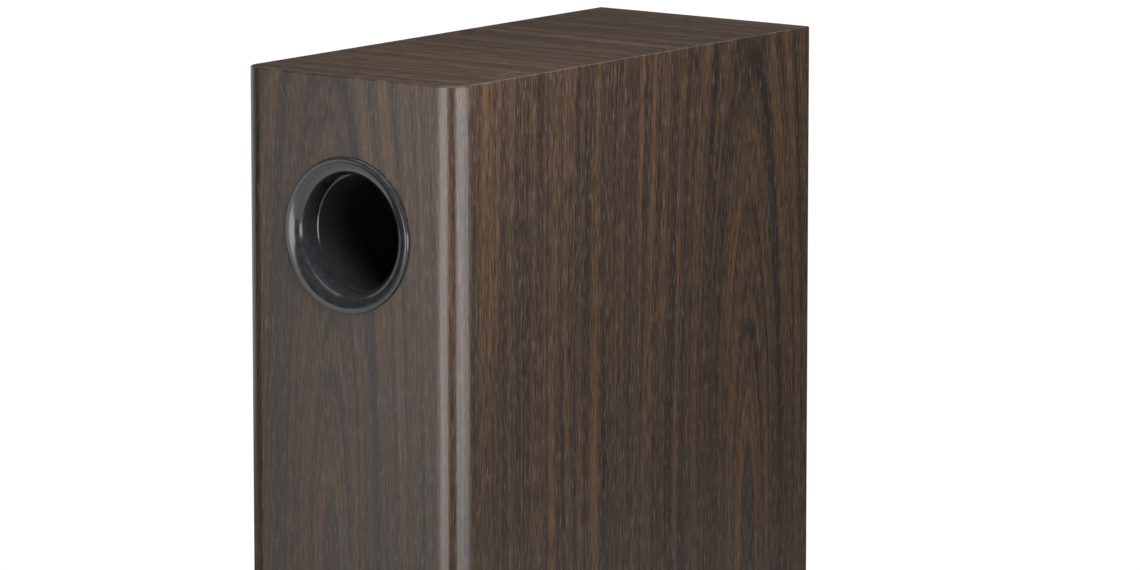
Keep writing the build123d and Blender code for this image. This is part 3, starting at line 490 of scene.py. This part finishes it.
def glossy_moulding(name):
    """Polished plastic with faint flow marks and a little dust."""
    g = Graph(name, Coat_Weight=0.35, Coat_Roughness=0.08)
    peel = g.noise(260.0, detail=2.0)
    dust = g.noise(1800.0, detail=2.0)
    g.colour(g.ramp(peel, (0.35, (0.010, 0.0105, 0.0115)), (0.65, (0.016, 0.0165, 0.018))))
    g.rough(g.plus(g.spread(peel, 0.17, 0.21), g.span(dust, 0.62, 0.75, 0.0, 0.06)))
    g.bump(peel, 0.00003, 0.25)
    return g.material


def wadding(name):
    """Lofted fibres in every direction."""
    g = Graph(name, Sheen_Weight=0.35, Sheen_Roughness=0.6, Specular_IOR_Level=0.2)
    lofts = g.noise(38.0, detail=3.0, distortion=0.8)
    strands = g.noise(420.0, detail=5.0, roughness=0.75, distortion=3.5)
    tone = g.plus(g.times(strands, 0.65), g.times(lofts, 0.35))
    shadow, body, tips = (0.16, 0.155, 0.15), (0.40, 0.39, 0.38), (0.66, 0.65, 0.63)
    g.colour(g.ramp(tone, (0.34, shadow), (0.50, body), (0.68, tips)))
    g.rough(g.spread(strands, 0.85, 1.0))
    g.bump(tone, 0.0012, 0.8)
    return g.material


def solder_mask(name):
    """Green mask over raised tracks."""
    g = Graph(name, Coat_Weight=0.5, Coat_Roughness=0.12)
    x, y, _ = g.split()
    lane = g.wave(x, 0.011)
    cross = g.wave(y, 0.017)
    wander = g.noise(26.0, detail=1.0)
    track = g.math("MAXIMUM", lane, g.times(cross, wander))
    trace = g.math("GREATER_THAN", track, 0.86)
    fine = g.noise(1500.0, detail=2.0)
    g.colour(g.mix(g.span(trace, 0, 1, 0.0, 0.8), (0.010, 0.060, 0.028), (0.025, 0.130, 0.055)))
    g.rough(g.spread(fine, 0.26, 0.36))
    g.bump(g.plus(g.times(trace, 0.8), g.times(fine, 0.2)), 0.00006, 0.7)
    return g.material


def braided(name):
    """A sleeve of dark threads that cross on the slant, with painted shade between the threads and a
    painted sheen on their crests.
    """
    g = Graph(name, Specular_IOR_Level=0.4)
    x, y, z = g.split()
    slant = g.plus(g.plus(x, y), z)
    counter = g.minus(g.minus(x, y), z)
    mesh = g.math("MAXIMUM", g.wave(slant, 0.0011), g.wave(counter, 0.0011))
    dust = g.noise(300.0, detail=2.0)
    # Painted sheen: the crests are lighter, made uneven at random by the noise that also sets the
    # roughness.
    g.colour(g.mix(g.times(mesh, dust), (0.010, 0.010, 0.011), (0.075, 0.075, 0.078)))
    g.rough(g.spread(dust, 0.5, 0.66))
    g.bump(mesh, 0.0001, 0.7)
    return g.material


def foil_wrap(name):
    """Creased yellow film in layers."""
    g = Graph(name, Coat_Weight=0.6, Coat_Roughness=0.1)
    x, _, z = g.split()
    layers = g.wave(g.plus(x, g.times(z, 0.3)), 0.0016)
    crease = g.noise(90.0, detail=3.0, distortion=1.0)
    g.colour(g.ramp(crease, (0.35, (0.46, 0.30, 0.04)), (0.65, (0.74, 0.55, 0.12))))
    g.rough(g.spread(crease, 0.22, 0.38))
    g.bump(g.plus(g.times(layers, 0.3), g.times(crease, 0.7)), 0.0001, 0.5)
    return g.material


def screw_cap(name, dark, light):
    """A tinted clear sleeve over a knurled metal core."""
    g = Graph(name, Coat_Weight=1.0, Coat_Roughness=0.05, Specular_IOR_Level=0.6)
    tone = g.noise(160.0, detail=3.0)
    scuff = g.noise(1200.0, g.stretched((1.0, 0.08, 1.0)), detail=2.0)
    g.colour(g.ramp(tone, (0.35, dark), (0.65, light)))
    g.rough(g.span(scuff, 0.3, 0.75, 0.16, 0.34))
    g.bump(scuff, 0.00002, 0.5)
    return g.material


port_middle = middle("port_flare")
tweeter_middle = middle("tweeter_faceplate")
BLACK = (0.016, 0.016, 0.0175)
JET = (0.010, 0.010, 0.011)
ZINC = (0.62, 0.61, 0.56)
BLACK_NICKEL = (0.16, 0.16, 0.17)
finish = {
    "gloss_black": glossy_moulding("gloss_black"),
    "matt_black": moulded("matt_black", BLACK, 0.50),
    "satin_black": moulded("satin_black", (0.013, 0.013, 0.0145), 0.36, grain=3200.0, depth=0.00001),
    "tube_black": moulded("tube_black", JET, 0.62, grain=1500.0),
    "lacquer": moulded(
        "lacquer", JET, 0.24, grain=900.0, depth=0.000006, Coat_Weight=0.6, Coat_Roughness=0.12
    ),
    "casting": moulded("casting", (0.022, 0.022, 0.024), 0.58, grain=1400.0, depth=0.00010),
    "rubber": moulded("rubber", (0.012, 0.012, 0.0125), 0.36, grain=900.0, depth=0.00002),
    "black_oxide": moulded("black_oxide", (0.020, 0.020, 0.022), 0.36, grain=1900.0, Metallic=0.6),
    "bare_board": speckled("bare_board", (0.20, 0.135, 0.080), (0.52, 0.39, 0.26), 700.0, 0.78),
    "ferrite": speckled("ferrite", (0.020, 0.020, 0.021), (0.075, 0.075, 0.078), 1100.0, 0.62),
    "cement": speckled("cement", (0.42, 0.41, 0.38), (0.82, 0.80, 0.76), 900.0, 0.80),
    "spider_cloth": woven("spider_cloth", 0.0009, (0.20, 0.13, 0.04), (0.68, 0.50, 0.20), 0.60, 0.0002),
    "silk_dome": woven(
        "silk_dome",
        0.00036,
        (0.006, 0.006, 0.007),
        (0.036, 0.036, 0.040),
        0.42,
        0.00006,
        Coat_Weight=0.25,
        Coat_Roughness=0.35,
    ),
    "coil_copper": winding("coil_copper", 1, 0.00035),
    "inductor_copper": winding("inductor_copper", 2, 0.0011),
    "circuit_board": solder_mask("circuit_board"),
    "leads": braided("leads"),
    "film_wrap": foil_wrap("film_wrap"),
    "wadding": wadding("wadding"),
    "red_cap": screw_cap("red_cap", (0.30, 0.004, 0.004), (0.46, 0.010, 0.008)),
    "black_cap": screw_cap("black_cap", (0.006, 0.006, 0.007), (0.016, 0.016, 0.018)),
    "gold": worked_metal("gold", (0.90, 0.66, 0.28), 0.20, middle("post_stems"), "Y", 0.0006),
    "tweeter_steel": worked_metal("tweeter_steel", ZINC, 0.34, tweeter_middle, "Y", 0.0008),
    "bolt_steel": worked_metal("bolt_steel", ZINC, 0.32, middle("plinth_bolts"), "Z", 0.0009),
    "tweeter_plate": moulded("tweeter_plate", BLACK, 0.34, depth=0.00001),
}


def finish_nodes(material, *names):
    """Gives CAD nodes a better material and leaves their meshes alone."""
    for name in names:
        node = NODES[name]
        if node.material_slots:
            for place in node.material_slots:
                place.material = material
        else:
            node.data.materials.append(material)


finish_nodes(wood_round, "cabinet_carcass")
finish_nodes(wood_top, "top_panel")
finish_nodes(wood_front, "front_baffle")
for key, names in {
    "bare_board": ("bottom_panel", "window_braces"),
    "lacquer": ("plinth",),
    "gloss_black": ("port_flare",),
    "tube_black": ("port_tube",),
    "matt_black": ("terminal_cup",),
    "satin_black": ("woofer_trim_rings",),
    "tweeter_plate": ("tweeter_faceplate",),
    "casting": ("upper_woofer_basket", "lower_woofer_basket"),
    "black_oxide": ("woofer_screws", "tweeter_screws", "terminal_screws"),
    "silk_dome": ("tweeter_dome",),
    "coil_copper": ("upper_woofer_voice_coil", "lower_woofer_voice_coil", "tweeter_voice_coil"),
    "inductor_copper": ("crossover_inductors",),
    "ferrite": ("upper_woofer_magnet", "lower_woofer_magnet", "tweeter_magnet"),
    "tweeter_steel": ("tweeter_top_plate", "tweeter_yoke"),
    "bolt_steel": ("plinth_bolts", "board_standoffs", "post_nuts"),
    "gold": ("post_stems", "red_clamp_washer", "black_clamp_washer"),
    "red_cap": ("red_post_cap",),
    "black_cap": ("black_post_cap",),
    "circuit_board": ("crossover_board",),
    "film_wrap": ("crossover_capacitors",),
    "cement": ("crossover_resistors",),
    "leads": ("internal_leads",),
}.items():
    finish_nodes(finish[key], *names)

FEET = ("front_left", "front_right", "rear_left", "rear_right")
for foot in FEET:
    finish_nodes(
        worked_metal(f"{foot}_black_nickel", BLACK_NICKEL, 0.20, middle(f"{foot}_spike"), "Z", 0.0005),
        f"{foot}_spike",
        f"{foot}_floor_disc",
    )
finish_nodes(
    worked_metal("insert_nickel", BLACK_NICKEL, 0.26, middle("spike_inserts"), "Z", 0.0006),
    "spike_inserts",
)


# ---------------------------------------------------------------- mesh pieces

CORNER_STEPS = 6


def rounded(points):
    """A closed outline as (radius, height) points. A third number rounds that corner."""
    made = []
    count = len(points)
    for i, point in enumerate(points):
        here = Vector(point[:2])
        fillet = point[2] if len(point) > 2 else 0.0
        before = Vector(points[i - 1][:2]) - here
        after = Vector(points[(i + 1) % count][:2]) - here
        if fillet <= 0:
            made.append(here)
            continue
        half = before.angle(after) / 2
        back = min(fillet / math.tan(half), before.length * 0.49, after.length * 0.49)
        start = here + before.normalized() * back
        end = here + after.normalized() * back
        for k in range(CORNER_STEPS + 1):
            u = k / CORNER_STEPS
            made.append(start * (1 - u) ** 2 + here * 2 * u * (1 - u) + end * u * u)
    return [tuple(p) for p in made]


def arc(centre, radius, start, end, steps):
    """Points on a circle from start to end degrees, in the (radius, height) plane."""
    turns = [math.radians(start + (end - start) * k / steps) for k in range(steps + 1)]
    return [(centre[0] + radius * math.cos(t), centre[1] + radius * math.sin(t)) for t in turns]


SHARP = math.radians(38)


def mesh_object(name, vertices, faces, material):
    """A smooth-shaded object whose edges stay crisp where they are sharper than SHARP."""
    mesh = bpy.data.meshes.new(name)
    mesh.from_pydata([tuple(v) for v in vertices], [], faces)
    work = bmesh.new()
    work.from_mesh(mesh)
    bmesh.ops.remove_doubles(work, verts=work.verts, dist=1e-7)
    bmesh.ops.recalc_face_normals(work, faces=work.faces)
    for face in work.faces:
        face.smooth = True
    for edge in work.edges:
        if len(edge.link_faces) == 2 and edge.calc_face_angle(0.0) > SHARP:
            edge.smooth = False
    work.to_mesh(mesh)
    work.free()
    mesh.materials.append(material)
    made = bpy.data.objects.new(name, mesh)
    scene.collection.objects.link(made)
    return made


def lathe(name, outline, origin, material, segments):
    """Turns a closed (radius, height) outline in millimetres. Height runs out of the front."""
    out = Vector((0, -1, 0))
    side = Vector((1, 0, 0))
    other = out.cross(side)
    vertices = []
    for k in range(segments):
        t = 2 * math.pi * k / segments
        ray = side * math.cos(t) + other * math.sin(t)
        vertices += [origin + (ray * r + out * h) * MM for r, h in outline]
    count = len(outline)
    faces = []
    for k in range(segments):
        a = k * count
        b = ((k + 1) % segments) * count
        for i in range(count):
            j = (i + 1) % count
            faces.append((a + i, b + i, b + j, a + j))
    return mesh_object(name, vertices, faces, material)


def stretch_by_radius(piece):
    """Bakes the piece's placement into its mesh and reads its points into an array, but moves none of
    them.
    """
    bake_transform(piece)
    count = len(piece.data.vertices)
    points = np.zeros(count * 3, np.float32)
    piece.data.vertices.foreach_get("co", points)
    points = points.reshape(-1, 3)


# Woofers: a turned roll and spider between the basket and the cone, in place of the CAD ones.
ROLL_CENTRE = (58.9, -2.5)
roll_outline = (
    rounded([(69.8, -3.5, 0.15), (69.8, -2.5, 0.3), (66.6, -2.5)])[:-1]
    + [(65.4, -2.44)]
    + arc(ROLL_CENTRE, 5.5, 6, 174, 40)
    + [(53.4, -4.2), (53.3, -6.6), (52.9, -7.15), (52.2, -7.3)]
    + rounded([(50.8, -7.3, 0.25), (50.8, -8.3, 0.25), (54.4, -8.3)])[:-1]
    + [(53.9, -8.25), (54.3, -7.8), (54.4, -6.6), (54.4, -4.2)]
    + arc(ROLL_CENTRE, 4.5, 174, 6, 36)
    + [(64.2, -3.2), (65.2, -3.5)]
)
SPIDER_WAVES = 5
SPIDER_IN = 14.2
SPIDER_OUT = 42.8
SPIDER_FLAT_IN = SPIDER_IN + 1.2
SPIDER_FLAT_OUT = 39.6
SPIDER_H = -36.2
SPIDER_SWING = 1.1
SPIDER_HALF_T = 0.2


def spider_height(r):
    """Flat where it is glued, and corrugated between."""
    if r < SPIDER_FLAT_IN or r > SPIDER_FLAT_OUT:
        return SPIDER_H
    share = (r - SPIDER_FLAT_IN) / (SPIDER_FLAT_OUT - SPIDER_FLAT_IN)
    return SPIDER_H + SPIDER_SWING * math.sin(2 * math.pi * SPIDER_WAVES * share)


spider_radii = [SPIDER_IN + (SPIDER_OUT - SPIDER_IN) * k / 150 for k in range(151)]
spider_outline = [(r, spider_height(r) + SPIDER_HALF_T) for r in spider_radii]
spider_outline += [(r, spider_height(r) - SPIDER_HALF_T) for r in reversed(spider_radii)]

for rank in ("upper", "lower"):
    node = middle(f"{rank}_woofer_basket")
    centre = Vector((node.x, FRONT_Y, node.z))
    cone_finish = pulp(f"{rank}_pulp", centre, (0.020, 0.0195, 0.019))
    finish_nodes(cone_finish, f"{rank}_woofer_cone", f"{rank}_woofer_dust_cap")
    steel = worked_metal(f"{rank}_steel", ZINC, 0.34, centre, "Y", 0.0008)
    finish_nodes(steel, f"{rank}_woofer_top_plate", f"{rank}_woofer_yoke")

    surround = lathe(f"{rank}_surround", roll_outline, centre, finish["rubber"], segments=192)
    stretch_by_radius(surround)
    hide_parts(f"{rank}_woofer_surround")

    spider = lathe(f"{rank}_spider", spider_outline, centre, finish["spider_cloth"], segments=144)
    stretch_by_radius(spider)
    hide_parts(f"{rank}_woofer_spider")


# Wadding: soft lofted pads on the inner side walls, in place of the plain CAD pads.
def lump(p, seed):
    """A smooth uneven value from -1 to 1 made of a few fixed waves."""
    total = 0.0
    for k, scale in enumerate((19.0, 37.0, 71.0, 128.0)):
        angle = seed * 1.7 + k * 2.1
        along = p.y * scale * math.cos(angle) + p.z * scale * math.sin(angle)
        total += math.sin(along + seed + k * 1.3) / (k + 1)
    return total / 1.9


PAD_CELLS = 70
PAD_RIM = 0.022


def wadding_pad(name, low, high, inward, seed):
    """A crowned pad: flat on the wall, soft and uneven on its room side, pulled in at its rim."""
    size = high - low
    along_y = PAD_CELLS
    along_z = max(40, round(along_y * size.z / size.y))
    wall_x = high.x if inward < 0 else low.x
    vertices = []
    for side in (0, 1):
        for i in range(along_y + 1):
            for k in range(along_z + 1):
                u = i / along_y
                v = k / along_z
                rim = min(u * size.y, (1 - u) * size.y, v * size.z, (1 - v) * size.z)
                loft = min(1.0, rim / PAD_RIM)
                crown = math.sqrt(max(0.0, 1 - (1 - loft) ** 2))
                p = Vector((wall_x, low.y + u * size.y, low.z + v * size.z))
                thick = size.x * (0.30 + 0.58 * crown + 0.12 * crown * lump(p, seed))
                if side:
                    p.x += inward * max(0.0008, thick)
                vertices.append(p)
    row = along_z + 1
    block = (along_y + 1) * row
    faces = []
    for side in (0, 1):
        for i in range(along_y):
            for k in range(along_z):
                a = side * block + i * row + k
                faces.append((a, a + 1, a + row + 1, a + row))
    rim_loop = list(range(along_z))
    rim_loop += [i * row + along_z for i in range(along_y)]
    rim_loop += [along_y * row + k for k in range(along_z, 0, -1)]
    rim_loop += [i * row for i in range(along_y, 0, -1)]
    for a, b in zip(rim_loop, rim_loop[1:] + rim_loop[:1]):
        faces.append((a, b, b + block, a + block))
    return mesh_object(name, vertices, faces, finish["wadding"])


pad_low, pad_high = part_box("damping_wadding")
# The upper window brace parts the pads on each wall.
BRACE_LOW = 0.707
BRACE_HIGH = 0.727
PAD_GAP = 0.002
PAD_T = 0.021
LEVELS = (
    ("low", pad_low.z, BRACE_LOW - PAD_GAP),
    ("high", BRACE_HIGH + PAD_GAP, pad_high.z),
)
pads = []
for side, inward in (("left", -1), ("right", 1)):
    for level, z0, z1 in LEVELS:
        x0, x1 = (pad_high.x - PAD_T, pad_high.x) if inward < 0 else (pad_low.x, pad_low.x + PAD_T)
        pad = wadding_pad(
            f"wadding_{side}_{level}",
            Vector((x0, pad_low.y, z0)),
            Vector((x1, pad_high.y, z1)),
            inward,
            1.0 + len(pads) * 2.3,
        )
        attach(pad, "cabinet")
        pads.append(pad)
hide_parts("damping_wadding")


# ---------------------------------------------------------------- floor

FLOOR_R = 2.6
FLOOR_RINGS = 24
FLOOR_SPOKES = 96
FADE_FROM = 0.7
FADE_TO = 2.3
floor_vertices = [Vector((0, 0, 0))]
floor_faces = []
for i in range(1, FLOOR_RINGS + 1):
    for k in range(FLOOR_SPOKES):
        t = 2 * math.pi * k / FLOOR_SPOKES
        r = FLOOR_R * i / FLOOR_RINGS
        floor_vertices.append(Vector((r * math.cos(t), r * math.sin(t), 0)))
for k in range(FLOOR_SPOKES):
    floor_faces.append((0, 1 + k, 1 + (k + 1) % FLOOR_SPOKES))
for i in range(FLOOR_RINGS - 1):
    for k in range(FLOOR_SPOKES):
        a = 1 + i * FLOOR_SPOKES
        b = a + FLOOR_SPOKES
        n = (k + 1) % FLOOR_SPOKES
        floor_faces.append((a + k, b + k, b + n, a + n))

# Pale near the object, and fading into the white backdrop further out.
floor_graph = Graph("pale_floor", Specular_IOR_Level=0.3)
floor_radius, _ = floor_graph.polar(Vector((0, 0, 0)), "Z")
mottle = floor_graph.noise(9.0, detail=4.0)
floor_graph.colour(floor_graph.ramp(mottle, (0.3, (0.76, 0.76, 0.755)), (0.7, (0.80, 0.80, 0.795))))
floor_graph.rough(floor_graph.spread(mottle, 0.6, 0.75))
floor_graph.bump(floor_graph.noise(240.0, detail=3.0), 0.0002, 0.2)
glow = floor_graph.nodes.new("ShaderNodeEmission")
glow.inputs["Strength"].default_value = BACKDROP
fade = floor_graph.nodes.new("ShaderNodeMixShader")
far = floor_graph.span(floor_radius, FADE_FROM, FADE_TO, smooth=True)
floor_graph.put(fade.inputs[0], far)
floor_graph.put(fade.inputs[1], floor_graph.surface.outputs[0])
floor_graph.put(fade.inputs[2], glow.outputs[0])
floor_graph.put(floor_graph.output.inputs[0], fade.outputs[0])
floor = mesh_object("floor", floor_vertices, floor_faces, floor_graph.material)
floor.location.z = CAD_BOX[0].z
